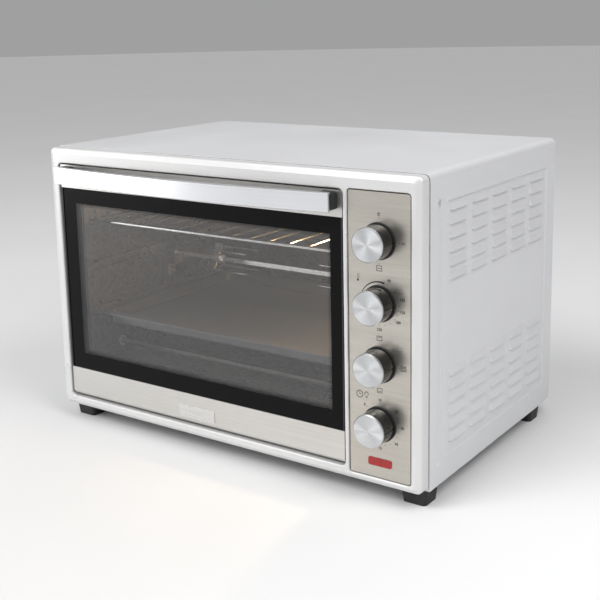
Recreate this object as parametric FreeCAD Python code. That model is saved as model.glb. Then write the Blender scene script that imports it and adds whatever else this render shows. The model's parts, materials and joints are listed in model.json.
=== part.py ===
import FreeCAD, Part
import math
import os

Vector = FreeCAD.Vector

# A countertop toaster oven with a drop-down glass door, four rotary controls, a rotisserie spit,
# a wire rack, a baking tray and a convection fan.
#
# While the pieces are drawn, X = 0 is the middle of the case, Y = 0 is the seam where the front
# frame meets the outer cover (+Y goes back), and Z = 0 is the underside of the case. export_all
# then moves every piece so that the origin is under the middle of the whole object, on the counter.

# ---- Case -------------------------------------------------------------------------------------
body_width = 560.0
body_height = 357.0
cover_depth = 347.0
cover_sheet = 0.8
cover_corner = 8.0
cover_flange = 12.0
slip = 0.2                    # gap between sheet parts that slide into each other
foot_height = 20.0
seam_gap = 0.8                # open groove between the frame's back edge and the cover

# ---- Front frame and its two openings ---------------------------------------------------------
frame_depth = 17.0
frame_sheet = 1.2
frame_inset = 1.2             # the cover stands proud of the frame by this much all round
frame_corner = 7.0            # corners of the frame, seen from the front
frame_round = 2.5
border_width = 7.0            # the border slopes back from the flat face to the frame's outside
border_low_width = 5.0
border_drop = 2.5
flat_corner = 5.0
opening_lip = 1.5             # rounding along the edges of the two openings
side_strip = 16.0
top_strip = 21.0
bottom_strip = 13.5
mullion = 6.5
panel_width = 77.5
door_corner = 6.0
panel_corner = 3.0
panel_gap = 1.2
chassis_sheet = 1.0

# ---- Cavity -----------------------------------------------------------------------------------
cavity_sheet = 0.8
cavity_side_gap = 40.0        # from the outside of the case to the left cavity wall
cavity_bay_gap = 23.5         # from the control panel's edge to the right cavity wall
cavity_floor_height = 58.0
cavity_top_gap = 54.0
cavity_depth = 317.0
rib_depth = 6.0
rib_height = 5.0
rib_start = 14.0
rack_levels = (128.0, 191.5, 255.0)

# ---- Door -------------------------------------------------------------------------------------
door_gap = 2.0
door_recess = 2.5             # the door's face sits this far behind the frame's face
door_back_gap = 0.8
trim_sheet = 1.0
trim_return = 7.0             # how far the trims' folds reach back above and below the glass
curl_radius = 6.0             # the lower trim curls around the hinge axis
glass_thickness = 4.0
glass_recess = 1.2            # the glass sits this far behind the two trims
lower_trim_height = 39.5
upper_trim_height = 30.5
door_side_wall = 1.6
window_left = 24.3            # from the door's left side to the clear window, and so on
window_right = 17.3
window_bottom = 62.0
window_top = 51.0
hinge_pin_radius = 2.5
hinge_plate = 2.5
hinge_eye = 4.8               # half width of the metal around a hinge pin
running_gap = 0.05

# ---- Handle -----------------------------------------------------------------------------------
handle_height = 22.6
handle_thickness = 4.0
handle_end_inset = 7.0
handle_end_reach = 15.0       # front of the bar's ends, measured from the frame's face
handle_bow = 14.0             # how much further the middle of the bar stands out
handle_drop = 0.5             # from the door's top edge to the bar's top edge
bracket_width = 20.0

# ---- Controls ---------------------------------------------------------------------------------
panel_recess = 1.5
panel_sheet = 1.0
knob_radius = 19.25
knob_length = 26.0
knob_pitch = 69.5
top_knob_drop = 53.5          # from the top of the panel to the highest knob's axis
knob_wall = 2.0
cap_thickness = 2.5
collar_radius = 20.75
collar_height = 2.0
shaft_radius = 3.0
bushing_radius = 4.5
lens_length = 30.0
lens_height = 9.5
lens_corner = 2.2
lens_rise = 18.2              # from the bottom of the panel to the lens's centre line

# ---- Heating, fan, lamp and spit --------------------------------------------------------------
heater_radius = 4.0
heater_inset = 60.0           # from the cavity's front and back to the heaters
upper_heater_drop = 14.0
lower_heater_rise = 17.0
insulator_radius = 7.0
insulator_flange = 10.0
spit_height = 183.0
spit_square = 6.0
fork_reach = 60.0
fork_half_height = 20.0
spit_clear = 14.0             # flat disc left on the side walls around the spit's ends
tine_radius = 1.6
fan_radius = 40.0
fan_can_radius = 46.0
fan_can_depth = 25.0
fan_back_gap = 64.0           # from the cavity's back to the fan's axis
lamp_radius = 14.0
lamp_front_gap = 110.0
lamp_top_gap = 20.0

# ---- Rack and tray ----------------------------------------------------------------------------
rail_radius = 2.5
bar_radius = 1.5
bar_pitch = 29.4
rack_clearance = 1.5
rack_front = 18.0
rack_back_gap = 18.0
tray_depth = 16.0
tray_rim = 9.0
tray_sheet = 0.8

# ---- Cover details ----------------------------------------------------------------------------
recess_front = 37.5
recess_back_gap = 24.5
recess_margin = 27.5
recess_top_gap = 34.5
recess_depth = 2.0
flute_front = 17.5
flute_width = 10.0
flute_margin = 24.0
flute_top_gap = 37.0
flute_depth = 1.5
louvre_length = 42.0
louvre_columns = 5
louvre_rows = 6
louvre_pitch_y = 55.0
louvre_pitch_z = 15.6
louvre_height = 8.4
louvre_proud = 2.6
louvre_corner = 2.5
louvre_top_gap = 42.5         # from the case's top to the highest row
louvre_low_gap = 19.0         # from the recess's lower edge to the lowest row
side_screw_gap = 4.0          # from a flute's end to the screw beyond it

screw_radius = 2.0
screw_head_radius = 3.2
screw_head_height = 2.4
side_head_radius = 2.7        # the cover's two side screws have smaller, flatter heads
side_head_height = 1.4
gland_radius = 8.0
gland_bore = 4.0
gland_reach = 9.0

# ---- Places worked out from the sizes above ---------------------------------------------------
half_width = body_width / 2
inner_half = half_width - cover_sheet
panel_x = (half_width - side_strip + 1.0 - panel_width, half_width - side_strip + 1.0)
panel_z = (bottom_strip - 3.0, body_height - top_strip)
door_opening_x = (-half_width + side_strip, panel_x[0] - mullion)
door_opening_z = (bottom_strip, body_height - top_strip)

door_x = (door_opening_x[0] + door_gap, door_opening_x[1] - door_gap)
door_z = (door_opening_z[0] + door_gap, door_opening_z[1] - door_gap)
door_middle = (door_x[0] + door_x[1]) / 2
door_front = -frame_depth + door_recess
door_back = -door_back_gap
pivot_y = door_front + curl_radius
pivot_z = door_z[0] + curl_radius
glass_z = (door_z[0] + lower_trim_height, door_z[1] - upper_trim_height)
window_x = (door_x[0] + window_left, door_x[1] - window_right)
window_z = (door_z[0] + window_bottom, door_z[1] - window_top)

cavity_x = (-half_width + cavity_side_gap, panel_x[0] - cavity_bay_gap)
cavity_y = (chassis_sheet, chassis_sheet + cavity_depth)
cavity_z = (cavity_floor_height, body_height - cavity_top_gap)
cavity_middle = (cavity_x[0] + cavity_x[1]) / 2
bay_x = cavity_x[1] + cavity_sheet            # outside of the right cavity wall

panel_front = -frame_depth + panel_recess
panel_back = panel_front + panel_sheet
knob_x = (panel_x[0] + panel_x[1]) / 2
knob_front = panel_front - knob_length
knob_heights = [panel_z[1] - top_knob_drop - i * knob_pitch for i in range(4)]
knob_names = ("function", "temperature", "heat", "timer")

handle_x = (door_x[0] + handle_end_inset, door_x[1] - handle_end_inset)
handle_z = (door_z[1] - handle_drop - handle_height, door_z[1] - handle_drop)
handle_end_y = -frame_depth - handle_end_reach
handle_mid_y = handle_end_y - handle_bow

heater_y = (cavity_y[0] + heater_inset, cavity_y[1] - heater_inset)
heater_z = (cavity_z[0] + lower_heater_rise, cavity_z[1] - upper_heater_drop)
spit_y = (cavity_y[0] + cavity_y[1]) / 2 + 10.0
fan_y = cavity_y[1] - fan_back_gap
lamp_y = lamp_front_gap
lamp_z = cavity_z[1] - lamp_top_gap

rack_x = (cavity_x[0] + rack_clearance, cavity_x[1] - rack_clearance)
rack_y = (rack_front, cavity_y[1] - rack_back_gap)
rack_z = rack_levels[2]
tray_z = rack_levels[0]

back_face = cover_depth + cover_sheet
rear_limit = back_face + gland_reach
front_limit = handle_mid_y
foot_size = (34.0, 32.0)
foot_taper = 4.0
foot_x = half_width - 4.0 - foot_size[0] / 2
foot_y = (0.5 + foot_size[1] / 2, cover_depth - 20.0 - foot_size[1] / 2)


# ---- Small helpers ----------------------------------------------------------------------------
def box(x, y, z):
    return Part.makeBox(x[1] - x[0], y[1] - y[0], z[1] - z[0], Vector(x[0], y[0], z[0]))


def rod(axis, start, length, radius):
    direction = {"x": Vector(1, 0, 0), "y": Vector(0, 1, 0), "z": Vector(0, 0, 1)}[axis]
    return Part.makeCylinder(radius, length, Vector(*start), direction)


def grown(span, amount):
    return (span[0] - amount, span[1] + amount)


def join(shapes):
    return shapes[0].multiFuse(shapes[1:]).removeSplitter()


def minus(shape, cutters):
    return shape.cut(cutters)


def along(edge, axis):
    ends = edge.Vertexes
    if len(ends) != 2:
        return False
    step = ends[1].Point.sub(ends[0].Point)
    return abs(abs(step.dot(axis)) - step.Length) < 1e-6


def soft_box(x, y, z, radius, axis):
    """A box whose four edges along one axis are rounded."""
    direction = {"x": Vector(1, 0, 0), "y": Vector(0, 1, 0), "z": Vector(0, 0, 1)}[axis]
    shape = box(x, y, z)
    return shape.makeFillet(radius, [edge for edge in shape.Edges if along(edge, direction)])


def ring(axis, start, length, outer, inner):
    return rod(axis, start, length, outer).cut(rod(axis, start, length, inner))


def capsule_y(x, y, z, radius):
    """A round-ended bar along Y."""
    bar = rod("y", (x, y[0], z), y[1] - y[0], radius)
    ends = [Part.makeSphere(radius, Vector(x, end, z)) for end in y]
    return bar.multiFuse(ends)


def screw(axis, under_head, length, head_side, head_radius=screw_head_radius,
          head_height=screw_head_height):
    """A pan-head screw: the shank runs from under the head, the head is on head_side (+1 or -1)."""
    offset = {"x": (1, 0, 0), "y": (0, 1, 0), "z": (0, 0, 1)}[axis]
    head_low = 0.0 if head_side > 0 else -head_height
    shank_low = -length if head_side > 0 else 0.0
    head = rod(axis, [c + o * head_low for c, o in zip(under_head, offset)],
               head_height, head_radius)
    shank = rod(axis, [c + o * shank_low for c, o in zip(under_head, offset)], length, screw_radius)
    return head.fuse(shank).removeSplitter()


def screw_hole(axis, middle, depth=6.0):
    offset = {"x": (1, 0, 0), "y": (0, 1, 0), "z": (0, 0, 1)}[axis]
    start = [c - o * depth / 2 for c, o in zip(middle, offset)]
    return rod(axis, start, depth, screw_radius + running_gap)


# ---- Case -------------------------------------------------------------------------------------
def cover_screw_places():
    z = body_height - flute_top_gap + side_screw_gap
    return [(side, flute_front + flute_width / 4, z) for side in (-1, 1)]


def base_screw_places():
    return [(side * (inner_half - cover_flange / 2), y) for side in (-1, 1)
            for y in (60.0, cover_depth - 80.0)]


def back_screw_places():
    reach = inner_half - cover_flange / 2
    heights = (20.0, body_height / 2, body_height - 20.0)
    return [(side * reach, z) for side in (-1, 1) for z in heights]


def louvre_places():
    first = recess_front + 32.5
    top = body_height - louvre_top_gap
    bottom = recess_margin + louvre_low_gap
    rows = [top - i * louvre_pitch_z for i in range(louvre_rows)]
    rows += [bottom + i * louvre_pitch_z for i in range(louvre_rows)]
    return [(first + i * louvre_pitch_y, z) for i in range(louvre_columns) for z in rows]


def prism_y(section, y):
    """A solid with the same (x, z) section all along Y."""
    corners = [Vector(x, y[0], z) for x, z in section]
    return Part.Face(Part.makePolygon(corners + corners[:1])).extrude(Vector(0, y[1] - y[0], 0))


def louvre(side, y, z):
    """A pressed hood that slopes outwards and is open below, and the slot behind it."""
    wall = half_width - recess_depth
    top = z + louvre_height / 2
    low = z - louvre_height / 2
    span = (y - louvre_length / 2, y + louvre_length / 2)
    inner = wall - cover_sheet
    section = [(inner, top), (wall, top), (wall + louvre_proud, low), (inner, low)]
    outline = soft_box(sorted((side * inner, side * (wall + louvre_proud + 1))), span,
                       (low - 2 * louvre_corner, top), louvre_corner, "x")
    hood = prism_y([(side * a, b) for a, b in section], span)
    hood = hood.common(outline).common(louvre_plan(side, span, (low, top), inner, wall, louvre_proud))
    behind = wall - 2 * cover_sheet
    lip = wall + louvre_proud - cover_sheet
    section = [(behind, top - cover_sheet), (inner, top - cover_sheet), (lip, low), (lip, low - slip),
               (behind, low - slip)]
    hollow = prism_y([(side * a, b) for a, b in section], grown(span, -cover_sheet))
    plan = louvre_plan(side, grown(span, -cover_sheet), (low - slip, top), behind, inner, louvre_proud)
    return hood, hollow.common(plan)


def louvre_plan(side, y, z, back, start, proud):
    """What keeps a louvre's ends sloping: its outline seen from above, from back to start + proud."""
    corners = [(back, y[0]), (start, y[0]), (start + proud, y[0] + proud), (start + proud, y[1] - proud),
               (start, y[1]), (back, y[1])]
    points = [Vector(side * a, b, z[0]) for a, b in corners]
    return Part.Face(Part.makePolygon(points + points[:1])).extrude(Vector(0, 0, z[1] - z[0]))


def rim_x(x, y, z, radius):
    slab = soft_box((x, x + 1), y, z, radius, "x")
    return [face for face in slab.Faces if face.BoundBox.XMax < x + 0.01][0].OuterWire


def side_press(side, y, z, depth, radius):
    """Backing and pocket for a rounded area pressed into a side of the cover, with sloping walls."""
    face = half_width * side
    backing = Part.makeLoft([rim_x(face, grown(y, cover_sheet), grown(z, cover_sheet), radius),
                             rim_x(face - side * (depth + cover_sheet), grown(y, cover_sheet - depth),
                                   grown(z, cover_sheet - depth), radius - depth)], True, True)
    pocket = Part.makeLoft([rim_x(face + side, grown(y, 1.0), grown(z, 1.0), radius),
                            rim_x(face - side * depth, grown(y, -depth), grown(z, -depth), radius - depth)],
                           True, True)
    return backing, pocket


def outer_cover():
    outside = box((-half_width, half_width), (seam_gap, cover_depth), (0, body_height))
    top_edges = [e for e in outside.Edges if along(e, Vector(0, 1, 0)) and e.BoundBox.ZMin > 1]
    outside = outside.makeFillet(cover_corner, top_edges)
    inside = box((-inner_half, inner_half), (-1, cover_depth + 1), (-1, body_height - cover_sheet))
    top_edges = [e for e in inside.Edges if along(e, Vector(0, 1, 0)) and e.BoundBox.ZMin > 1]
    inside = inside.makeFillet(cover_corner - cover_sheet, top_edges)
    rear = (cover_depth - cover_sheet, cover_depth)
    rear_flange = outside.common(box(grown((-half_width, half_width), 1), rear, (0, body_height)))
    opening = box((-inner_half + cover_flange, inner_half - cover_flange), grown(rear, 1),
                  (-1, body_height - cover_sheet - cover_flange))
    parts = [minus(outside, [inside]), rear_flange.cut(opening)]
    pockets = []
    recess_y = (recess_front, cover_depth - recess_back_gap)
    recess_z = (recess_margin, body_height - recess_top_gap)
    flute_y = (flute_front, flute_front + flute_width)
    flute_z = (flute_margin, body_height - flute_top_gap)
    for side in (-1, 1):
        flange_x = sorted((side * inner_half, side * (inner_half - cover_flange)))
        parts.append(box(flange_x, (chassis_sheet + slip, cover_depth - cover_sheet),
                         (cover_sheet, 2 * cover_sheet)))
        for y, z, depth, radius in ((recess_y, recess_z, recess_depth, 6.0),
                                    (flute_y, flute_z, flute_depth, flute_width / 2 - 0.1)):
            backing, pocket = side_press(side, y, z, depth, radius)
            parts.append(backing)
            pockets.append(pocket)
    shell = minus(join(parts), pockets)
    hoods = []
    slots = []
    for side in (-1, 1):
        for y, z in louvre_places():
            hood, slot = louvre(side, y, z)
            hoods.append(hood)
            slots.append(slot)
    shell = minus(shell.multiFuse(hoods), slots)
    holes = [rod("x", (side * half_width - 5, y, z), 10, screw_radius + running_gap)
             for side, y, z in cover_screw_places()]
    holes += [screw_hole("z", (x, y, 1.5 * cover_sheet)) for x, y in base_screw_places()]
    holes += [screw_hole("y", (x, cover_depth, z)) for x, z in back_screw_places()]
    return minus(shell, holes)


def back_panel():
    margin = 4.0
    shape = soft_box((-half_width + margin, half_width - margin), (cover_depth, back_face),
                     (margin, body_height - margin), 6.0, "y")
    vents = []
    for x in range(-6, 7):
        for z in (body_height * 0.22, body_height * 0.78):
            middle = x * body_width / 18
            vents.append(soft_box((middle - 10, middle + 10), (cover_depth - 1, back_face + 1),
                                  (z - 2, z + 2), 1.9, "y"))
            vents.append(soft_box((middle - 10, middle + 10), (cover_depth - 1, back_face + 1),
                                  (z + 8, z + 12), 1.9, "y"))
    holes = [screw_hole("y", (x, cover_depth, z)) for x, z in back_screw_places()]
    holes.append(rod("y", (cord_x(), cover_depth - 1, cord_z()), 4, gland_radius - 2.0))
    return minus(shape, vents + holes)


def cord_x():
    return half_width - 45.0


def cord_z():
    return 45.0


def base_panel():
    shape = box((-inner_half + slip, inner_half - slip),
                (chassis_sheet + slip, cover_depth - cover_sheet - slip), (0, cover_sheet))
    vents = []
    for row in range(-2, 3):
        for column in range(-3, 4):
            x = cavity_middle + column * 48.0
            y = cover_depth / 2 + row * 30.0
            vents.append(soft_box((x - 16, x + 16), (y - 2.5, y + 2.5), (-1, 2), 2.4, "z"))
    holes = [screw_hole("z", (x, y, 0)) for x, y in base_screw_places()]
    holes += [screw_hole("z", (x, y, 0)) for x, y in foot_places()]
    return minus(shape, vents + holes)


def foot_places():
    return [(side * foot_x, y) for side in (-1, 1) for y in foot_y]


def foot(x, y):
    """A tapered rubber block with a pocket for its screw."""
    top = Part.makePlane(foot_size[0], foot_size[1], Vector(x - foot_size[0] / 2, y - foot_size[1] / 2, 0))
    low_x = foot_size[0] - foot_taper
    low_y = foot_size[1] - foot_taper
    bottom = Part.makePlane(low_x, low_y, Vector(x - low_x / 2, y - low_y / 2, -foot_height))
    block = Part.makeLoft([top.OuterWire, bottom.OuterWire], True)
    uprights = [e for e in block.Edges if e.BoundBox.ZLength > 1]
    block = block.makeFillet(5.0, uprights)
    pocket = rod("z", (x, y, -foot_height - 1), foot_height - 5.0, screw_head_radius + 1.0)
    hole = rod("z", (x, y, -foot_height), foot_height + 1, screw_radius + running_gap)
    return minus(block, [pocket, hole])


def feet():
    return Part.makeCompound([foot(x, y) for x, y in foot_places()])


def case_screws():
    pieces = []
    for side, y, z in cover_screw_places():
        pieces.append(screw("x", (side * half_width, y, z), 10.0, side,
                            side_head_radius, side_head_height))
    pieces += [screw("y", (x, back_face, z), 8.0, 1) for x, z in back_screw_places()]
    pieces += [screw("z", (x, y, 0), 8.0, -1) for x, y in base_screw_places()]
    pieces += [screw("z", (x, y, -6.0), 12.0, -1) for x, y in foot_places()]
    return Part.makeCompound(pieces)


def rounded_rim(x, z, y, radius):
    slab = soft_box(x, (y, y + 1), z, radius, "y")
    return [face for face in slab.Faces if face.BoundBox.YMax < y + 0.01][0].OuterWire


def frame_blank(wall):
    """The front frame's body, shrunk by wall on every side, for the outside and the hollow."""
    edge = frame_inset + wall
    x = (-half_width + edge, half_width - edge)
    z = (edge, body_height - edge)
    face_y = -frame_depth + wall
    border_y = face_y + border_drop
    flat_z = (z[0] + border_low_width, z[1] - border_width)
    crown = Part.makeLoft([rounded_rim(x, z, border_y, frame_corner - wall),
                           rounded_rim(grown(x, -border_width), flat_z, face_y, flat_corner)], True, True)
    outline = join([soft_box(x, (border_y, 0), z, frame_corner - wall, "y"), crown])
    bounds = [(e, e.BoundBox) for e in outline.Edges]
    rims = [e for e, b in bounds if abs(b.YMin - border_y) < 0.01 and b.YLength < 0.01]
    outline = outline.makeFillet(frame_round - wall, rims)
    openings = ((door_opening_x, door_opening_z, wall, door_corner),
                (panel_x, panel_z, panel_gap + wall, panel_corner + panel_gap))
    cutters = [soft_box(grown(x, gap), (-frame_depth - 1, 1), grown(z, gap), radius + wall, "y")
               for x, z, gap, radius in openings]
    return minus(outline, cutters)


def around_opening(edge):
    """Whether an edge of the flat face runs around one of the two openings."""
    bound = edge.BoundBox
    crease_x = half_width - frame_inset - border_width - 1
    crease_z = (frame_inset + border_low_width + 1, body_height - frame_inset - border_width - 1)
    in_x = bound.XMin > -crease_x and bound.XMax < crease_x
    in_z = bound.ZMin > crease_z[0] and bound.ZMax < crease_z[1]
    return bound.YMax < -frame_depth + 0.01 and in_x and in_z


def front_frame():
    outside = frame_blank(0)
    lips = [e for e in outside.Edges if around_opening(e)]
    shape = minus(outside.makeFillet(opening_lip, lips), [frame_blank(frame_sheet)])
    reach = hinge_pin_radius + 0.6
    start = door_opening_x[0] - frame_sheet - 1
    holes = [rod("x", (start, pivot_y, pivot_z), frame_sheet + 2, reach),
             rod("x", (door_opening_x[1] - 1, pivot_y, pivot_z), frame_sheet + 2, reach)]
    return minus(shape, holes)


def chassis_front():
    shape = box((-inner_half + slip, inner_half - slip), (0, chassis_sheet),
                (cover_sheet, body_height - cover_sheet - slip))
    corners = [e for e in shape.Edges if along(e, Vector(0, 1, 0)) and e.BoundBox.ZMin > 100]
    shape = shape.makeFillet(cover_corner, corners)
    holes = [box(cavity_x, (-1, 2), cavity_z),
             box(grown(panel_x, -3.0), (-1, 2), grown(panel_z, -6.0))]
    for low, high in hinge_bracket_spans():
        holes.append(box((low - slip, high + slip), (-1, 2), (pivot_z - 8 - slip, pivot_z + 14 + slip)))
    return minus(shape, holes)


def hinge_bracket_spans():
    left = door_opening_x[0] - frame_sheet - slip
    right = door_opening_x[1] + frame_sheet + slip
    return ((left - hinge_plate, left), (right, right + hinge_plate))


def hinge_brackets():
    pieces = []
    for (low, high), side in zip(hinge_bracket_spans(), (1, -1)):
        z = (pivot_z - 8.0, pivot_z + 14.0)
        plate = box((low, high), (pivot_y - hinge_eye, 14.0), z)
        bore = rod("x", (low - 1, pivot_y, pivot_z), hinge_plate + 2, hinge_pin_radius + running_gap)
        tab_x = (high - hinge_plate, high + 9) if side > 0 else (low - 9, low + hinge_plate)
        tab = box(tab_x, (chassis_sheet, chassis_sheet + 2), (z[0] + 1, z[1] + 12))
        pieces.append(minus(join([plate, tab]), [bore]))
    return Part.makeCompound(pieces)


# ---- Cavity -----------------------------------------------------------------------------------
def rib_spans():
    spans = []
    for level in rack_levels:
        top = level - rail_radius - 0.3
        spans.append((top - rib_height, top))
        spans.append((level + rail_radius + 1.5, level + rail_radius + 1.5 + rib_height))
    return spans


def rib_runs(z, clear_discs):
    """The stretches of one rib in Y, leaving out the flat discs (y, z, radius) that it would cross."""
    start = rib_start
    runs = []
    for disc_y, disc_z, radius in clear_discs:
        if z[0] < disc_z + radius and z[1] > disc_z - radius:
            runs.append((start, disc_y - radius))
            start = disc_y + radius
    runs.append((start, cavity_y[1] - rib_start))
    return [run for run in runs if run[1] - run[0] > 3 * rib_height]


def side_wall(inner, side, clear_discs):
    """A cavity wall with hollow pressed ribs. side is +1 when the cavity lies towards +X."""
    back = inner - side * cavity_sheet
    parts = [box(sorted((inner, back)), cavity_y, grown(cavity_z, cavity_sheet))]
    hollows = []
    tip = inner + side * rib_depth
    for z in rib_spans():
        for rib_y in rib_runs(z, clear_discs):
            parts.append(soft_box(sorted((inner, tip)), rib_y, z, 2.0, "x"))
            hollows.append(soft_box(sorted((back - side, tip - side * cavity_sheet)),
                                    grown(rib_y, -cavity_sheet), grown(z, -cavity_sheet), 1.2, "x"))
    cuts = [rod("x", (inner - 5, y, z), 10, insulator_radius) for y in heater_y for z in heater_z]
    return minus(join(parts), hollows + cuts)


def cavity_left_wall():
    wall = side_wall(cavity_x[0], 1, [(spit_y, spit_height, spit_clear)])
    holes = [screw_hole("x", (cavity_x[0], spit_y, spit_height + offset)) for offset in (-24.0, -32.0)]
    return minus(wall, holes)


def fan_hole_places():
    places = []
    for count, radius in ((8, 14.0), (14, 24.0), (20, 34.0)):
        for i in range(count):
            turn = 2 * math.pi * i / count
            places.append((fan_y + radius * math.cos(turn), spit_height + radius * math.sin(turn)))
    return places


def cavity_right_wall():
    discs = [(spit_y, spit_height, spit_clear), (fan_y, spit_height, fan_radius + 2.0)]
    wall = side_wall(cavity_x[1], -1, discs)
    holes = [rod("x", (cavity_x[1] - 1, y, z), 3, 3.0) for y, z in fan_hole_places()]
    holes.append(rod("x", (cavity_x[1] - 1, spit_y, spit_height), 3, 9.0))
    holes.append(rod("x", (cavity_x[1] - 8, lamp_y, lamp_z), 10, lamp_radius))
    return minus(wall, holes)


def cavity_roof():
    return box(cavity_x, cavity_y, (cavity_z[1], cavity_z[1] + cavity_sheet))


def cavity_floor():
    return box(cavity_x, cavity_y, (cavity_z[0] - cavity_sheet, cavity_z[0]))


def cavity_rear_wall():
    wall = box(grown(cavity_x, cavity_sheet), (cavity_y[1], cavity_y[1] + cavity_sheet),
               grown(cavity_z, cavity_sheet))
    middle_z = (cavity_z[0] + cavity_z[1]) / 2
    x = grown(cavity_x, -60.0)
    z = (middle_z - 55.0, middle_z + 55.0)
    bulge = soft_box(grown(x, cavity_sheet), (cavity_y[1], cavity_y[1] + 8 + cavity_sheet),
                     grown(z, cavity_sheet), 15.0 + cavity_sheet, "y")
    hollow = soft_box(x, (cavity_y[1] - 1, cavity_y[1] + 8), z, 15.0, "y")
    return minus(join([wall, bulge]), [hollow])


# ---- Heaters, lamp, fan -----------------------------------------------------------------------
def heaters():
    length = cavity_x[1] - cavity_x[0] + 28.0
    return Part.makeCompound([rod("x", (cavity_x[0] - 14, y, z), length, heater_radius)
                              for y in heater_y for z in heater_z])


def heater_insulators():
    pieces = []
    for y in heater_y:
        for z in heater_z:
            for inner, side in ((cavity_x[0], -1), (cavity_x[1], 1)):
                start = inner - 2 if side > 0 else inner - 10
                face = inner + cavity_sheet if side > 0 else inner - cavity_sheet - 3
                sleeve = rod("x", (start, y, z), 12, insulator_radius)
                flange = rod("x", (face, y, z), 3, insulator_flange)
                bore = rod("x", (inner - 20, y, z), 40, heater_radius + 0.1)
                pieces.append(minus(join([sleeve, flange]), [bore]))
    return Part.makeCompound(pieces)


def lamp_glass():
    """A domed lamp glass with its flange seated in the right wall."""
    rim = rod("x", (cavity_x[1] - 1.5, lamp_y, lamp_z), bay_x - cavity_x[1] + 4, lamp_radius - 0.5)
    ball = Part.makeSphere(lamp_radius + 4, Vector(bay_x + 5.5, lamp_y, lamp_z))
    dome = ball.common(rod("x", (cavity_x[1] - 12, lamp_y, lamp_z), 10.6, lamp_radius - 0.5))
    hollow = Part.makeSphere(lamp_radius + 2, Vector(bay_x + 5.5, lamp_y, lamp_z))
    return minus(join([rim, dome]), [hollow.common(rod("x", (cavity_x[1] - 12, lamp_y, lamp_z), 30,
                                                       lamp_radius - 2.5))])


def lamp_holder():
    start = cavity_x[1] - 1.5 + bay_x - cavity_x[1] + 4
    case = ring("x", (bay_x, lamp_y, lamp_z), 4, lamp_radius + 5, lamp_radius)
    socket = rod("x", (start, lamp_y, lamp_z), 26, lamp_radius + 1)
    return join([case, ring("x", (bay_x + 2, lamp_y, lamp_z), 8, lamp_radius + 3, lamp_radius), socket])


def fan_can():
    start = (bay_x, fan_y, spit_height)
    body = ring("x", start, fan_can_depth, fan_can_radius, fan_can_radius - cavity_sheet)
    lip = ring("x", start, cavity_sheet, fan_can_radius + 5, fan_can_radius - cavity_sheet)
    end = ring("x", (bay_x + fan_can_depth - cavity_sheet, fan_y, spit_height), cavity_sheet,
               fan_can_radius, 5.0)
    return join([body, lip, end])


def fan_blade():
    start = bay_x + 6.0
    hub = rod("x", (start, fan_y, spit_height), 14, 8)
    disc = rod("x", (start + 11, fan_y, spit_height), 1.5, fan_radius * 0.8)
    shaft = rod("x", (start + 8, fan_y, spit_height), 34, 2.5)
    blades = []
    for i in range(8):
        blade = box((start, start + 12), (fan_y + 7, fan_y + fan_radius),
                    (spit_height - 0.5, spit_height + 0.5))
        blade.rotate(Vector(0, fan_y, spit_height), Vector(1, 0, 0), i * 45.0)
        blades.append(blade)
    return join([hub, disc, shaft] + blades)


def fan_motor():
    start = bay_x + fan_can_depth
    posts = [rod("x", (start, fan_y, spit_height + offset), 8, 3) for offset in (-26.0, 26.0)]
    core = soft_box((start + 8, start + 24), (fan_y - 26, fan_y + 26), (spit_height - 32, spit_height + 32),
                    3.0, "x")
    rotor = rod("x", (start + 6, fan_y, spit_height), 26, 14)
    bore = rod("x", (start, fan_y, spit_height), 26, 2.5 + running_gap)
    return minus(join(posts + [core, rotor]), [bore])


# ---- Rotisserie -------------------------------------------------------------------------------
def spit_motor():
    posts = [rod("x", (bay_x, spit_y, spit_height + offset), 12, 4) for offset in (-30.0, 30.0)]
    plate = soft_box((bay_x + 12, bay_x + 14), (spit_y - 16, spit_y + 16),
                     (spit_height - 38, spit_height + 38), 6.0, "x")
    gears = rod("x", (bay_x + 14, spit_y, spit_height), 16, 25)
    motor = rod("x", (bay_x + 30, spit_y, spit_height), 18, 20)
    bore = rod("x", (bay_x, spit_y, spit_height), 28, 4 + running_gap)
    return minus(join(posts + [plate, gears, motor]), [bore])


def spit_socket():
    """The turning coupling that takes the spit's square end."""
    face = cavity_x[1] - 12.0
    sleeve = rod("x", (face, spit_y, spit_height), bay_x + 10 - face, 7.5)
    stem = rod("x", (bay_x + 9, spit_y, spit_height), 16, 4)
    half = spit_square / 2 + 0.15
    pocket = box((face - 1, bay_x + 6), (spit_y - half, spit_y + half),
                 (spit_height - half, spit_height + half))
    return minus(join([sleeve, stem]), [pocket])


def spit_rod():
    """A square rod with a pointed left end that lies in the support's notch."""
    half = spit_square / 2
    left = cavity_x[0] + 3.0
    bar = box((left + 26, bay_x + 4), (spit_y - half, spit_y + half),
              (spit_height - half, spit_height + half))
    neck = rod("x", (left + 6, spit_y, spit_height), 20, half - 0.4)
    tip = Part.makeCone(0.8, half - 0.4, 6, Vector(left, spit_y, spit_height), Vector(1, 0, 0))
    return join([bar, neck, tip])


def fork_tine(root, angle, side):
    """A tine that leaves the hub's bar and runs along the spit, with a pointed end."""
    y = spit_y + fork_half_height * math.cos(angle)
    z = spit_height + fork_half_height * math.sin(angle)
    start = (root, y, z) if side > 0 else (root - fork_reach + 8, y, z)
    straight = rod("x", start, fork_reach - 8, tine_radius)
    tip_at = root + side * (fork_reach - 8)
    tip = Part.makeCone(tine_radius, 0.4, 8, Vector(tip_at, y, z), Vector(side, 0, 0))
    return straight.fuse(tip)


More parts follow.
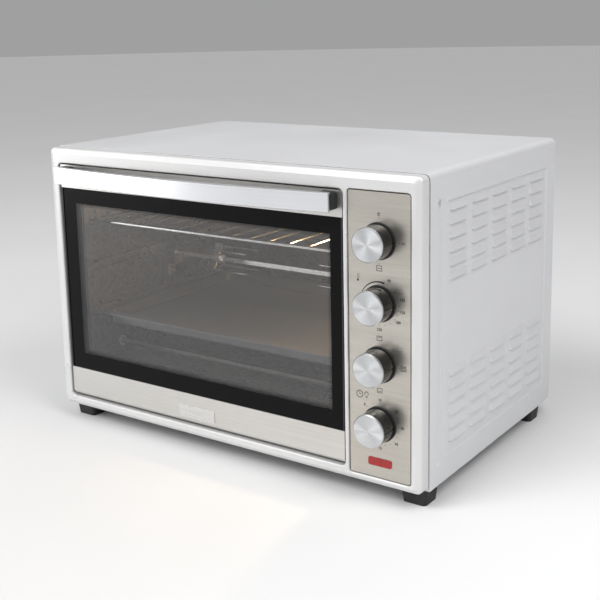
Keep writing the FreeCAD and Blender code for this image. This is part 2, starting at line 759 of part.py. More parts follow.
def spit_fork(root, side):
    half = spit_square / 2 + 0.1
    hub = soft_box((root - 5, root + 5), (spit_y - 7, spit_y + 7),
                   (spit_height - 7, spit_height + 7), 2.5, "x")
    arms = []
    for i in range(4):
        angle = math.pi / 4 + i * math.pi / 2
        arm = rod("y", (root, spit_y, spit_height), fork_half_height, tine_radius)
        arm.rotate(Vector(0, spit_y, spit_height), Vector(1, 0, 0), math.degrees(angle))
        arms.append(arm)
        elbow = Part.makeSphere(tine_radius, Vector(root, spit_y + fork_half_height * math.cos(angle),
                                                    spit_height + fork_half_height * math.sin(angle)))
        arms.append(elbow)
        arms.append(fork_tine(root, angle, side))
    square = box((root - 9, root + 9), (spit_y - half, spit_y + half),
                 (spit_height - half, spit_height + half))
    thread = rod("z", (root, spit_y, spit_height), 12, 2.0 + running_gap)
    return minus(join([hub] + arms), [square, thread])


def fork_roots():
    return (cavity_middle - 109.0, cavity_middle + 131.0)


def spit_forks():
    left, right = fork_roots()
    return Part.makeCompound([spit_fork(left, 1), spit_fork(right, -1)])


def fork_screws():
    pieces = []
    for root in fork_roots():
        shank = rod("z", (root, spit_y, spit_height + spit_square / 2), 10, 2.0)
        wing = soft_box((root - 6, root + 6), (spit_y - 1.2, spit_y + 1.2),
                        (spit_height + 12, spit_height + 22), 3.0, "y")
        pieces.append(join([shank, wing]))
    return Part.makeCompound(pieces)


def spit_support():
    """The bracket on the left wall, with a notch open at the top for the spit's end."""
    x0 = cavity_x[0]
    foot_plate = box((x0, x0 + 1.2), (spit_y - 9, spit_y + 9), (spit_height - 38, spit_height - 16))
    arm = box((x0, x0 + 16), (spit_y - 9, spit_y + 9), (spit_height - 17.2, spit_height - 16))
    cradle = box((x0 + 14.8, x0 + 16), (spit_y - 9, spit_y + 9), (spit_height - 17.2, spit_height + 6))
    half = spit_square / 2 - 0.4 + running_gap
    notch = join([rod("x", (x0 + 10, spit_y, spit_height), 12, half),
                  box((x0 + 10, x0 + 22), (spit_y - half, spit_y + half), (spit_height, spit_height + 12))])
    holes = [screw_hole("x", (x0, spit_y, spit_height + offset)) for offset in (-24.0, -32.0)]
    return minus(join([foot_plate, arm, cradle]), [notch] + holes)


# ---- Rack and tray ----------------------------------------------------------------------------
def wire_rack():
    x = grown(rack_x, -rail_radius)
    y = grown(rack_y, -rail_radius)
    corner = 12.0
    parts = []
    for end in y:
        parts.append(rod("x", (x[0] + corner, end, rack_z), x[1] - x[0] - 2 * corner, rail_radius))
    for side in x:
        parts.append(rod("y", (side, y[0] + corner, rack_z), y[1] - y[0] - 2 * corner, rail_radius))
    corners = ((x[0] + corner, y[0] + corner, 180), (x[1] - corner, y[0] + corner, 270),
               (x[1] - corner, y[1] - corner, 0), (x[0] + corner, y[1] - corner, 90))
    for cx, cy, turn in corners:
        bend = Part.makeTorus(corner, rail_radius, Vector(0, 0, 0), Vector(0, 0, 1), -180, 180, 90)
        bend.rotate(Vector(0, 0, 0), Vector(0, 0, 1), turn)
        bend.translate(Vector(cx, cy, rack_z))
        parts.append(bend)
    count = int((x[1] - x[0]) / 2 / bar_pitch - 0.2)
    for i in range(-count, count + 1):
        middle = (x[0] + x[1]) / 2 + i * bar_pitch
        parts.append(rod("y", (middle, y[0], rack_z + 0.8), y[1] - y[0], bar_radius))
    for share in (1 / 3, 2 / 3):
        cross = y[0] + share * (y[1] - y[0])
        parts.append(rod("x", (x[0], cross, rack_z - 0.9), x[1] - x[0], 1.6))
    return join(parts)


def baking_tray():
    x = rack_x
    y = rack_y
    rim = soft_box(x, y, (tray_z - 1.0, tray_z), 14.0, "z")
    low = tray_z - tray_depth
    outer = soft_box(grown(x, -tray_rim), grown(y, -tray_rim), (low, tray_z), 12.0, "z")
    bottom = [e for e in outer.Edges if e.BoundBox.ZMax < low + 0.01]
    outer = outer.makeFillet(4.0, bottom)
    inset = -tray_rim - tray_sheet
    inner = soft_box(grown(x, inset), grown(y, inset), (low + tray_sheet, tray_z + 1), 11.2, "z")
    bottom = [e for e in inner.Edges if e.BoundBox.ZMax < low + tray_sheet + 0.01]
    inner = inner.makeFillet(3.2, bottom)
    roll = soft_box((x[0] + 14, x[1] - 14), (y[0], y[0] + 2.4), (tray_z - 2.6, tray_z), 1.0, "x")
    return minus(join([rim, outer, roll]), [inner])


# ---- Controls ---------------------------------------------------------------------------------
def control_panel():
    outside = soft_box(panel_x, (panel_front, 0), panel_z, panel_corner, "y")
    inside = soft_box(grown(panel_x, -panel_sheet), (panel_back, 1), grown(panel_z, -panel_sheet),
                      panel_corner - panel_sheet, "y")
    holes = [rod("y", (knob_x, panel_front - 1, z0), 4, bushing_radius + 0.1) for z0 in knob_heights]
    holes.append(lens_outline(0.1, (panel_front - 1, panel_back + 1)))
    return minus(outside, [inside] + holes)


def lens_outline(gap, y):
    x = (knob_x - lens_length / 2 - gap, knob_x + lens_length / 2 + gap)
    centre = panel_z[0] + lens_rise
    z = (centre - lens_height / 2 - gap, centre + lens_height / 2 + gap)
    return soft_box(x, y, z, lens_corner + gap, "y")


def indicator_lens():
    face = lens_outline(0, (panel_front - 0.8, panel_back + 6))
    shoulder = lens_outline(2.0, (panel_back, panel_back + 1.5))
    hollow = lens_outline(-1.2, (panel_front + 1.0, panel_back + 7))
    return minus(join([face, shoulder]), [hollow])


def indicator_lamp():
    centre = panel_z[0] + lens_rise
    bulb = rod("x", (knob_x - 9, panel_back + 3.4, centre), 18, 2.4)
    holder = box((knob_x - 13, knob_x + 13), (panel_back + 6, panel_back + 11), (centre - 5, centre + 5))
    return join([bulb, holder, box((knob_x - 6, knob_x + 6), (panel_back + 4, panel_back + 7),
                                   (centre - 1, centre + 1))])


def control_body(z, width, height, depth, round_body):
    """A switch case behind the panel, with a threaded bushing for its shaft."""
    y = (panel_back, panel_back + depth)
    if round_body:
        case = rod("y", (knob_x, y[0], z), depth, width / 2)
    else:
        case = soft_box((knob_x - width / 2, knob_x + width / 2), y,
                        (z - height / 2, z + height / 2), 2.0, "y")
    bushing = rod("y", (knob_x, panel_front - 5.0, z), 6.0 + panel_sheet, bushing_radius)
    nut = minus(rod("y", (knob_x, panel_front - collar_height + 0.1, z), collar_height - 0.1, 8.0),
                [box((knob_x - 9, knob_x - 7), (panel_front - 9, 9), (z - 9, z + 9)),
                 box((knob_x + 7, knob_x + 9), (panel_front - 9, 9), (z - 9, z + 9))])
    tags = [box((knob_x + offset - 3, knob_x + offset + 3), (y[1], y[1] + 8), (z - 0.4, z + 0.4))
            for offset in (-9.0, 9.0)]
    bore = rod("y", (knob_x, panel_front - 8, z), panel_sheet + 20, shaft_radius + running_gap)
    return minus(join([case, bushing, nut] + tags), [bore])


def knob_collars():
    """Black rings that seat each knob on the panel."""
    pieces = []
    for z in knob_heights:
        pieces.append(ring("y", (knob_x, panel_front - collar_height, z), collar_height,
                           collar_radius, collar_radius - 5.0))
    return Part.makeCompound(pieces)


def knob(z):
    """A hollow knob with a hub for the shaft and a pointer groove facing +X."""
    back = panel_front - collar_height - 0.4
    front = knob_front + cap_thickness
    length = back - front
    body = rod("y", (knob_x, front, z), length, knob_radius)
    rear_rim = [e for e in body.Edges if e.BoundBox.YMin > back - 0.01]
    body = body.makeFillet(0.6, rear_rim)
    hollow = ring("y", (knob_x, front + 3.0, z), length, knob_radius - knob_wall, 6.5)
    hub_cut = rod("y", (knob_x, back - 5.5, z), 10, knob_radius - knob_wall)
    bore = rod("y", (knob_x, front + 4.0, z), length, shaft_radius + 0.02)
    pointer = box((knob_x + knob_radius - 0.5, knob_x + knob_radius + 1), (front - 1, back + 1),
                  (z - 0.6, z + 0.6))
    return minus(body, [hollow, hub_cut, bore, pointer])


def knob_cap(z):
    disc = rod("y", (knob_x, knob_front, z), cap_thickness, knob_radius)
    rim = [e for e in disc.Edges if e.BoundBox.YMax < knob_front + 0.01]
    return disc.makeChamfer(1.0, rim)


def knob_shaft(z):
    start = knob_front + cap_thickness + 4.2
    return rod("y", (knob_x, start, z), panel_back + 10 - start, shaft_radius)


# ---- Door -------------------------------------------------------------------------------------
def door_liner():
    """The pressed inner frame that carries the glass, the trims and the hinge pins."""
    low = pivot_z - 2.0
    z = (low, door_z[1] - trim_sheet)
    behind_trim = door_front + trim_sheet
    back = box(door_x, (door_back - trim_sheet, door_back), z)
    lower_edge = box(grown(door_x, -12.0), (pivot_y - hinge_eye + 0.4, door_back), (low, low + trim_sheet))
    parts = [back, lower_edge, box(door_x, (behind_trim, door_back), (z[1] - trim_sheet, z[1]))]
    for x in ((door_x[0], door_x[0] + door_side_wall), (door_x[1] - door_side_wall, door_x[1])):
        parts.append(box(x, (behind_trim, door_back), (pivot_z, z[1])))
        parts.append(box(x, (pivot_y, door_back), (low, pivot_z)))
        parts.append(box(x, (door_front, door_back), glass_z))
        parts.append(rod("x", (x[0], pivot_y, pivot_z), door_side_wall, hinge_eye))
    holes = [box(window_x, (door_back - 3, 1), window_z)]
    holes.append(rod("x", (door_x[0] - 1, pivot_y, pivot_z), door_x[1] - door_x[0] + 2,
                     hinge_pin_radius + 0.02))
    holes += [screw_hole("y", (x, door_back, sum(handle_z) / 2), 8.0) for x in handle_screw_x()]
    shell = join(parts)
    access = [rod("y", (x, door_back - 3, sum(handle_z) / 2), 5, screw_head_radius + 1.5)
              for x in handle_screw_x()]
    return minus(shell, holes + access)


def hinge_pins():
    outer = (hinge_bracket_spans()[0][0], hinge_bracket_spans()[1][1])
    pieces = []
    for side, wall, end in ((-1, door_x[0], outer[0]), (1, door_x[1], outer[1])):
        inside = wall - side * (door_side_wall + 6)
        head = wall - side * door_side_wall
        low, high = sorted((inside, end))
        pin = rod("x", (low, pivot_y, pivot_z), high - low, hinge_pin_radius)
        head_x = sorted((head, head - side * 2))
        pieces.append(pin.fuse(rod("x", (head_x[0], pivot_y, pivot_z), 2, 4.0)).removeSplitter())
    return Part.makeCompound(pieces)


def door_glass():
    front = door_front + glass_recess
    return box(grown(door_x, -door_side_wall - slip), (front, front + glass_thickness), glass_z)


def glass_gasket():
    """The sealing ring between the glass and the liner."""
    x = grown(door_x, -door_side_wall - slip)
    y = (door_front + glass_recess + glass_thickness, door_back - trim_sheet)
    outer = box(x, y, glass_z)
    inner = box(grown(window_x, 3.0), grown(y, 1), grown(window_z, 3.0))
    return minus(outer, [inner])


def lower_trim():
    """The brushed strip under the glass; its lower edge curls around the hinge axis."""
    curl = rod("x", (door_x[0], pivot_y, pivot_z), door_x[1] - door_x[0], curl_radius)
    curl = curl.cut(rod("x", (door_x[0] - 1, pivot_y, pivot_z), door_x[1] - door_x[0] + 2,
                        curl_radius - trim_sheet))
    quarter = box(grown(door_x, 2), (pivot_y - 20, pivot_y), (pivot_z - 20, pivot_z))
    face = box(door_x, (door_front, door_front + trim_sheet), (pivot_z, glass_z[0]))
    top = box(grown(door_x, -door_side_wall - slip), (door_front, door_front + trim_return),
              (glass_z[0] - trim_sheet, glass_z[0]))
    return join([curl.common(quarter), face, top])


def upper_trim():
    top = (door_z[1] - trim_sheet, door_z[1])
    face = box(door_x, (door_front, door_front + trim_sheet), (glass_z[1], door_z[1]))
    roof = box(door_x, (door_front, door_back), top)
    sill = box(grown(door_x, -door_side_wall - slip), (door_front, door_front + trim_return),
               (glass_z[1], glass_z[1] + trim_sheet))
    holes = [screw_hole("y", (x, door_front, sum(handle_z) / 2)) for x in handle_screw_x()]
    return minus(join([face, roof, sill]), holes)


def door_badge():
    """A blank plate on the lower trim."""
    z = (pivot_z + 2.0, pivot_z + 17.0)
    return soft_box((door_middle - 29, door_middle + 29), (door_front - 0.8, door_front), z, 1.5, "y")


def handle_screw_x():
    return (handle_x[0] - 1 + bracket_width / 2, handle_x[1] + 1 - bracket_width / 2)


def handle_front_zone(offset):
    """Everything in front of the bar's face, moved back by offset."""
    y_end = handle_end_y + offset
    y_mid = handle_mid_y + offset
    left = Vector(handle_x[0] - 20, bow_at(handle_x[0] - 20) + offset, 0)
    right = Vector(handle_x[1] + 20, bow_at(handle_x[1] + 20) + offset, 0)
    arc = Part.Arc(left, Vector(door_middle, y_mid, 0), right).toShape()
    far = min(y_mid, y_end) - 60
    outline = [Vector(right), Vector(right.x, far, 0), Vector(left.x, far, 0), Vector(left)]
    edges = [arc] + [Part.LineSegment(a, b).toShape() for a, b in zip(outline, outline[1:])]
    face = Part.Face(Part.Wire(edges))
    face.translate(Vector(0, 0, handle_z[0] - 20))
    return face.extrude(Vector(0, 0, handle_height + 40))


def bow_at(x):
    """Y of the bar's front face: the arc through its two ends and its middle."""
    half = (handle_x[1] - handle_x[0]) / 2
    radius = (half * half + handle_bow * handle_bow) / (2 * handle_bow)
    return handle_mid_y + radius - math.sqrt(radius * radius - (x - door_middle) ** 2)


def handle_bar():
    """A flat bar bowed in plan, with its long edges broken."""
    arcs = []
    for offset in (0, handle_thickness):
        left, right = [Vector(x, bow_at(x) + offset, handle_z[0]) for x in handle_x]
        middle = Vector(door_middle, handle_mid_y + offset, handle_z[0])
        arcs.append((left, middle, right))
    (left, middle, right), (back_left, back_middle, back_right) = arcs
    edges = [Part.Arc(left, middle, right).toShape(), Part.LineSegment(right, back_right).toShape(),
             Part.Arc(back_right, back_middle, back_left).toShape(),
             Part.LineSegment(back_left, left).toShape()]
    bar = Part.Face(Part.Wire(edges)).extrude(Vector(0, 0, handle_height))
    return bar.makeChamfer(0.8, [e for e in bar.Edges if e.Length > 50])


def handle_brackets():
    pieces = []
    for x in ((handle_x[0] - 1, handle_x[0] - 1 + bracket_width),
              (handle_x[1] + 1 - bracket_width, handle_x[1] + 1)):
        block = box(x, (handle_end_y - 5, door_front), grown(handle_z, -1.0))
        block = minus(block, [handle_front_zone(handle_thickness)])
        lower = [e for e in block.Edges if along(e, Vector(0, 1, 0))]
        block = block.makeFillet(4.0, lower)
        middle = (x[0] + x[1]) / 2
        hole = rod("y", (middle, door_front - 13, sum(handle_z) / 2), 14, screw_radius + running_gap)
        pieces.append(minus(block, [hole]))
    return Part.makeCompound(pieces)


def handle_screws():
    z = sum(handle_z) / 2
    pieces = [screw("y", (x, door_front + trim_sheet, z), 13.0, 1) for x in handle_screw_x()]
    return Part.makeCompound(pieces)


# ---- Wiring pieces ----------------------------------------------------------------------------
def cord_gland():
    """The bush in the rear panel through which the supply cord would leave."""
    x, z = cord_x(), cord_z()
    neck = rod("y", (x, cover_depth - 4, z), 4 + cover_sheet, gland_radius - 2.05)
    collar = rod("y", (x, back_face, z), gland_reach, gland_radius)
    rim = [e for e in collar.Edges if e.BoundBox.YMin > rear_limit - 0.01]
    collar = collar.makeFillet(2.0, rim)
    nut = rod("y", (x, cover_depth - 6, z), 6, gland_radius + 1)
    bore = rod("y", (x, cover_depth - 10, z), 30, gland_bore)
    return minus(join([neck, collar, nut]), [bore])


def terminal_block():
    x = cord_x() + 4
    body = soft_box((x - 30, x + 14), (cover_depth - 46, cover_depth - 28), (cover_sheet, 20), 1.5, "z")
    wells = [rod("z", (x - 22 + 15 * i, cover_depth - 37, 10), 12, 3.5) for i in range(3)]
    return minus(body, wells)


# ---- Export -----------------------------------------------------------------------------------
def all_pieces():
    pieces = {
        "outer_cover": outer_cover(), "back_panel": back_panel(), "base_panel": base_panel(),
        "front_frame": front_frame(), "chassis_front": chassis_front(), "feet": feet(),
        "case_screws": case_screws(), "hinge_brackets": hinge_brackets(),
        "cavity_left_wall": cavity_left_wall(), "cavity_right_wall": cavity_right_wall(),
        "cavity_roof": cavity_roof(), "cavity_floor": cavity_floor(),
        "cavity_rear_wall": cavity_rear_wall(), "heaters": heaters(),
        "heater_insulators": heater_insulators(), "oven_lamp_glass": lamp_glass(),
        "oven_lamp_holder": lamp_holder(), "fan_can": fan_can(), "fan_blade": fan_blade(),
        "fan_motor": fan_motor(), "spit_motor": spit_motor(), "spit_socket": spit_socket(),
        "spit_rod": spit_rod(), "spit_forks": spit_forks(), "fork_screws": fork_screws(),
        "spit_support": spit_support(), "wire_rack": wire_rack(), "baking_tray": baking_tray(),
        "control_panel": control_panel(), "knob_collars": knob_collars(),
        "indicator_lens": indicator_lens(), "indicator_lamp": indicator_lamp(),
        "door_liner": door_liner(), "hinge_pins": hinge_pins(), "door_glass": door_glass(),
        "glass_gasket": glass_gasket(), "lower_trim": lower_trim(), "upper_trim": upper_trim(),
        "door_badge": door_badge(), "handle_bar": handle_bar(), "handle_brackets": handle_brackets(),
        "handle_screws": handle_screws(), "cord_gland": cord_gland(), "terminal_block": terminal_block(),
    }
    bodies = (("function_switch", 34.0, 34.0, 22.0, False), ("thermostat", 30.0, 40.0, 26.0, False),
              ("heat_selector", 34.0, 34.0, 22.0, False), ("timer", 46.0, 46.0, 36.0, True))
    for name, z, (case, width, height, depth, round_body) in zip(knob_names, knob_heights, bodies):
        pieces[case] = control_body(z, width, height, depth, round_body)
        pieces[name + "_knob"] = knob(z)
        pieces[name + "_knob_cap"] = knob_cap(z)
        pieces[name + "_shaft"] = knob_shaft(z)
    return pieces


def origin_shift():
    """Moves the drawing datum to the middle of the whole depth and the underside of the feet."""
    return Vector(0, -(front_limit + rear_limit) / 2, foot_height)


def export_all():
    os.makedirs("parts", exist_ok=True)
    for name, shape in all_pieces().items():
        shape = shape.copy()
        shape.translate(origin_shift())
        shape.exportStep("parts/" + name + ".step")
        state = "valid" if shape.isValid() else "NOT VALID"
        print(name, len(shape.Solids), state, round(shape.Volume / 1000, 1))


export_all()
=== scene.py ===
import json
import math

import bmesh
import bpy
from mathutils import Matrix, Vector

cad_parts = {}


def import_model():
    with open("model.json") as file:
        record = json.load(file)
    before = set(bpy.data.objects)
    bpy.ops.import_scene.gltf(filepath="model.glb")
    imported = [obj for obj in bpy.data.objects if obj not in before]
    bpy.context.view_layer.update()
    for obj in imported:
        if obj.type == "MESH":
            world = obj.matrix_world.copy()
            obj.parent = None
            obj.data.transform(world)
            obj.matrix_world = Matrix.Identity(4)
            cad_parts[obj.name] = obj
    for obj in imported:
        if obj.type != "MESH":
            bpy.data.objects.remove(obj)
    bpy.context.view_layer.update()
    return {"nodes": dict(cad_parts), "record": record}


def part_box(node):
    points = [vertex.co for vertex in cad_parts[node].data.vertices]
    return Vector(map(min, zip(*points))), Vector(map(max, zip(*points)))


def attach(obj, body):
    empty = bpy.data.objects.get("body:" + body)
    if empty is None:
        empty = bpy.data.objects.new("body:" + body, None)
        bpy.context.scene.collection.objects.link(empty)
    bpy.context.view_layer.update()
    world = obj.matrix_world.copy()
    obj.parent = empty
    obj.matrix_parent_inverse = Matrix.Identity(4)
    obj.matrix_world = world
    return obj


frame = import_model()
NODES = frame["nodes"]
MM = 0.001


def show(name, data):
    """A new object for a mesh, light or camera, linked to the scene."""
    thing = bpy.data.objects.new(name, data)
    bpy.context.scene.collection.objects.link(thing)
    return thing


# ---- Materials --------------------------------------------------------------------------------
NOISE_SPAN = (0.3, 0.7)        # nearly all values of a noise pattern lie in here
SPANGLE_SPAN = (0.2, 0.8)
WINDOW_LEFT_MARGIN = 22.5 * MM    # of the door glass, printed black
WINDOW_RIGHT_MARGIN = 15.5 * MM
WINDOW_BOTTOM_MARGIN = 22.5 * MM
WINDOW_TOP_MARGIN = 20.5 * MM
PRINT_SOFTNESS = 0.6 * MM
FADE_WIDTH = 5.0 * MM
MATERIALS = {}


def tone(red, green, blue):
    """A colour given as display values from 0 to 255."""
    return tuple(((v / 255 + 0.055) / 1.055) ** 2.4 if v > 10 else v / 255 / 12.92
                 for v in (red, green, blue)) + (1.0,)


class Shader:
    """A Principled material with short helpers for the nodes that feed it."""

    def __init__(self, name, **sockets):
        self.name = name
        self.material = bpy.data.materials.new(name)
        self.material.use_nodes = True
        self.tree = self.material.node_tree
        self.tree.nodes.clear()
        self.output = self.node("ShaderNodeOutputMaterial")
        self.main = self.node("ShaderNodeBsdfPrincipled")
        self.link(self.main.outputs[0], self.output.inputs[0])
        self.object = self.node("ShaderNodeTexCoord").outputs["Object"]
        for socket, value in sockets.items():
            self.set(socket.replace("_", " "), value)

    def node(self, kind, **properties):
        made = self.tree.nodes.new(kind)
        for key, value in properties.items():
            setattr(made, key, value)
        return made

    def link(self, start, end):
        self.tree.links.new(start, end)

    def feed(self, socket, value):
        if isinstance(value, bpy.types.NodeSocket):
            self.link(value, socket)
        else:
            socket.default_value = value

    def set(self, name, value):
        self.feed(self.main.inputs[name], value)

    def math(self, operation, *values):
        made = self.node("ShaderNodeMath", operation=operation)
        for socket, value in zip(made.inputs, values):
            self.feed(socket, value)
        return made.outputs[0]

    def axes(self, vector):
        made = self.node("ShaderNodeSeparateXYZ")
        self.link(vector, made.inputs[0])
        return made.outputs

    def stretched(self, scale):
        made = self.node("ShaderNodeMapping")
        self.link(self.object, made.inputs["Vector"])
        made.inputs["Scale"].default_value = scale
        return made.outputs[0]

    def noise(self, scale, detail, stretch=None):
        made = self.node("ShaderNodeTexNoise")
        self.link(self.stretched(stretch) if stretch else self.object, made.inputs["Vector"])
        made.inputs["Scale"].default_value = scale
        made.inputs["Detail"].default_value = detail
        return made.outputs["Fac"]

    def cells(self, scale):
        """A colour that is constant over each cell and random from cell to cell."""
        made = self.node("ShaderNodeTexVoronoi", feature="F1")
        self.link(self.object, made.inputs["Vector"])
        made.inputs["Scale"].default_value = scale
        return made.outputs["Color"]

    def mixed(self, first, second, share):
        """Two patterns added up: the share of the second one, the rest from the first."""
        return self.math("ADD", self.math("MULTIPLY", first, 1.0 - share),
                         self.math("MULTIPLY", second, share))

    def remap(self, value, low, high, out_low, out_high):
        made = self.node("ShaderNodeMapRange")
        for socket, given in zip(made.inputs, (value, low, high, out_low, out_high)):
            self.feed(socket, given)
        return made.outputs[0]

    def spread(self, pattern, out_low, out_high):
        """A noise pattern drawn out so that it fills a range."""
        return self.remap(pattern, *NOISE_SPAN, out_low, out_high)

    def blend(self, factor, first, second):
        made = self.node("ShaderNodeMix", data_type="RGBA")
        self.feed(made.inputs[0], factor)
        self.feed(made.inputs[6], first)
        self.feed(made.inputs[7], second)
        return made.outputs[2]

    def colour(self, pattern, first, second):
        """A base colour that runs from the first to the second tone along a pattern."""
        self.set("Base Color", self.blend(self.spread(pattern, 0.0, 1.0), first, second))

    def layered(self, share, under, over):
        """Two shaders mixed, with the share of the second one."""
        made = self.node("ShaderNodeMixShader")
        self.feed(made.inputs[0], share)
        self.link(under.outputs[0], made.inputs[1])
        self.link(over.outputs[0], made.inputs[2])
        return made

    def bump(self, height, distance, strength):
        made = self.node("ShaderNodeBump")
        self.link(height, made.inputs["Height"])
        made.inputs["Distance"].default_value = distance
        made.inputs["Strength"].default_value = strength
        return made.outputs[0]


def brushed(name, dark, light, stretch, rough, **sockets):
    """Steel with fine scratches drawn out along one axis, faint bands and handling marks."""
    s = Shader(name, Metallic=1.0, **sockets)
    fine = s.noise(1.0, 3.0, stretch)
    bands = s.noise(1.0 / 12, 2.0, stretch)
    marks = s.noise(14.0, 3.0)
    surface = s.mixed(s.mixed(fine, bands, 0.45), marks, 0.2)
    s.colour(surface, dark, light)
    s.set("Roughness", s.spread(surface, rough + 0.07, rough - 0.05))
    s.set("Normal", s.bump(fine, 0.00003, 0.6))
    return s


def enamel(name, dark, light, rough, peel=0.00004, **sockets):
    """Sprayed enamel: orange peel about a millimetre across, faint clouds and specks."""
    s = Shader(name, **sockets)
    clouds = s.noise(5.0, 4.0)
    specks = s.noise(1500.0, 2.0)
    s.colour(s.mixed(clouds, specks, 0.4), dark, light)
    s.set("Roughness", s.spread(clouds, rough - 0.04, rough + 0.06))
    s.set("Normal", s.bump(s.noise(900.0, 2.0), peel, 0.7))
    return s


def plastic(name, dark, light, rough, texture, depth, **sockets):
    """Moulded plastic with a fine spark-eroded texture."""
    s = Shader(name, **sockets)
    grain = s.noise(texture, 3.0)
    s.colour(grain, dark, light)
    s.set("Roughness", s.spread(s.noise(60.0, 3.0), rough - 0.06, rough + 0.08))
    s.set("Normal", s.bump(grain, depth, 0.8))
    return s


def galvanised(name, dark, light, rough, scale):
    """Zinc or aluminised sheet: crystal spangle with stains."""
    s = Shader(name, Metallic=0.85)
    crystals = s.axes(s.cells(scale))[0]
    shade = s.mixed(crystals, s.noise(9.0, 4.0), 0.5)
    s.set("Base Color", s.blend(s.remap(shade, *SPANGLE_SPAN, 0.0, 1.0), dark, light))
    s.set("Roughness", s.remap(shade, *SPANGLE_SPAN, rough + 0.08, rough - 0.08))
    s.set("Normal", s.bump(s.noise(350.0, 3.0), 0.00003, 0.5))
    return s


def plated(name, dark, light, rough):
    """Bright plating with faint draw lines and a few dull spots."""
    s = Shader(name, Metallic=1.0)
    spots = s.noise(220.0, 3.0)
    s.set("Base Color", s.blend(s.remap(spots, 0.35, 0.7, 0.0, 1.0), light, dark))
    s.set("Roughness", s.spread(s.noise(90.0, 3.0), rough - 0.03, rough + 0.08))
    s.set("Normal", s.bump(s.noise(700.0, 2.0), 0.00001, 0.4))
    return s


def build_materials():
    """The materials of all slots, by the slot's name, and the ink of the printed marks."""
    shaders = [
        enamel("cover_paint", tone(202, 202, 204), tone(210, 211, 212), 0.36, Metallic=0.2),
        enamel("frame_paint", tone(203, 203, 203), tone(212, 212, 211), 0.3, 0.00002,
               Metallic=0.25, Coat_Weight=0.15, Coat_Roughness=0.2),
        brushed("panel_steel", tone(178, 174, 166), tone(200, 196, 188), (30, 30, 2600), 0.3),
        brushed("trim_steel", tone(196, 194, 190), tone(214, 213, 210), (12, 12, 2600), 0.33),
        brushed("handle_steel", tone(222, 223, 226), tone(234, 235, 238), (6, 6, 3000), 0.2),
        brushed("badge_steel", tone(206, 206, 205), tone(220, 220, 219), (20, 20, 2600), 0.24),
        galvanised("plated_sheet", tone(176, 178, 180), tone(206, 207, 208), 0.4, 90.0),
        galvanised("cavity_steel", tone(118, 113, 108), tone(142, 137, 131), 0.34, 260.0),
        enamel("tray_steel", tone(92, 92, 94), tone(112, 112, 114), 0.35, Metallic=0.3),
        enamel("black_enamel", tone(24, 24, 25), tone(34, 34, 35), 0.3),
        plastic("black_plastic", tone(22, 22, 23), tone(32, 32, 33), 0.5, 1100.0, 0.00004),
        plastic("gasket_rubber", tone(26, 26, 26), tone(36, 36, 36), 0.7, 700.0, 0.00005),
        plastic("foot_rubber", tone(22, 22, 22), tone(38, 38, 38), 0.65, 600.0, 0.0001),
        galvanised("timer_brass", tone(170, 160, 130), tone(205, 190, 150), 0.35, 400.0),
        plastic("ceramic", tone(214, 208, 194), tone(232, 227, 215), 0.55, 500.0, 0.00005),
        plated("screw_steel", tone(186, 186, 184), tone(216, 216, 214), 0.3),
        plated("chrome_wire", tone(225, 224, 222), tone(248, 247, 245), 0.14),
        galvanised("heater_tube", tone(70, 68, 66), tone(104, 101, 98), 0.5, 500.0),
        brushed("fan_aluminium", tone(180, 180, 182), tone(206, 206, 208), (20, 20, 900), 0.35),
        spun_aluminium(),
        dark_chrome(),
        red_lens(),
        plastic("neon_lamp", tone(200, 60, 30), tone(235, 110, 60), 0.2, 300.0, 0.00001,
                Emission_Color=tone(255, 90, 40), Emission_Strength=2.0),
        lamp_glass(),
        door_glass(),
        plastic("panel_ink", tone(14, 13, 12), tone(24, 23, 22), 0.5, 900.0, 0.00001),
    ]
    MATERIALS.update((shader.name, shader.material) for shader in shaders)


def spun_aluminium():
    """A face turned on a lathe: rings so fine that light gathers in sectors."""
    s = Shader("knob_aluminium", Metallic=1.0, Anisotropic=0.92)
    tangent = s.node("ShaderNodeTangent", direction_type="RADIAL", axis="Y")
    s.link(tangent.outputs[0], s.main.inputs["Tangent"])
    cloud = s.noise(40.0, 2.0)
    s.colour(cloud, tone(196, 198, 200), tone(210, 212, 214))
    s.set("Roughness", s.spread(cloud, 0.3, 0.36))
    return s


def dark_chrome():
    """Smoked metallised plastic."""
    s = Shader("knob_dark", Metallic=0.95)
    haze = s.noise(45.0, 3.0)
    lines = s.noise(1.0, 2.0, (40, 2400, 40))
    s.colour(haze, tone(74, 73, 73), tone(96, 95, 94))
    s.set("Roughness", s.spread(lines, 0.1, 0.18))
    s.set("Normal", s.bump(lines, 0.00001, 0.4))
    return s


def red_lens():
    s = Shader("red_lens", Coat_Weight=0.3, Coat_Roughness=0.05, Emission_Strength=0.12)
    ribs = s.noise(1.0, 1.0, (700, 50, 50))
    s.set("Base Color", s.blend(ribs, tone(110, 3, 3), tone(160, 6, 6)))
    s.set("Emission Color", s.blend(ribs, tone(180, 6, 6), tone(235, 24, 18)))
    s.set("Roughness", s.spread(ribs, 0.12, 0.22))
    s.set("Normal", s.bump(ribs, 0.00008, 0.5))
    return s


def lamp_glass():
    s = Shader("lamp_glass", Roughness=0.2, Emission_Strength=14.0)
    glow = s.noise(120.0, 2.0)
    s.set("Base Color", s.blend(glow, tone(255, 225, 170), tone(255, 240, 205)))
    s.set("Emission Color", s.blend(glow, tone(255, 196, 110), tone(255, 214, 140)))
    return s


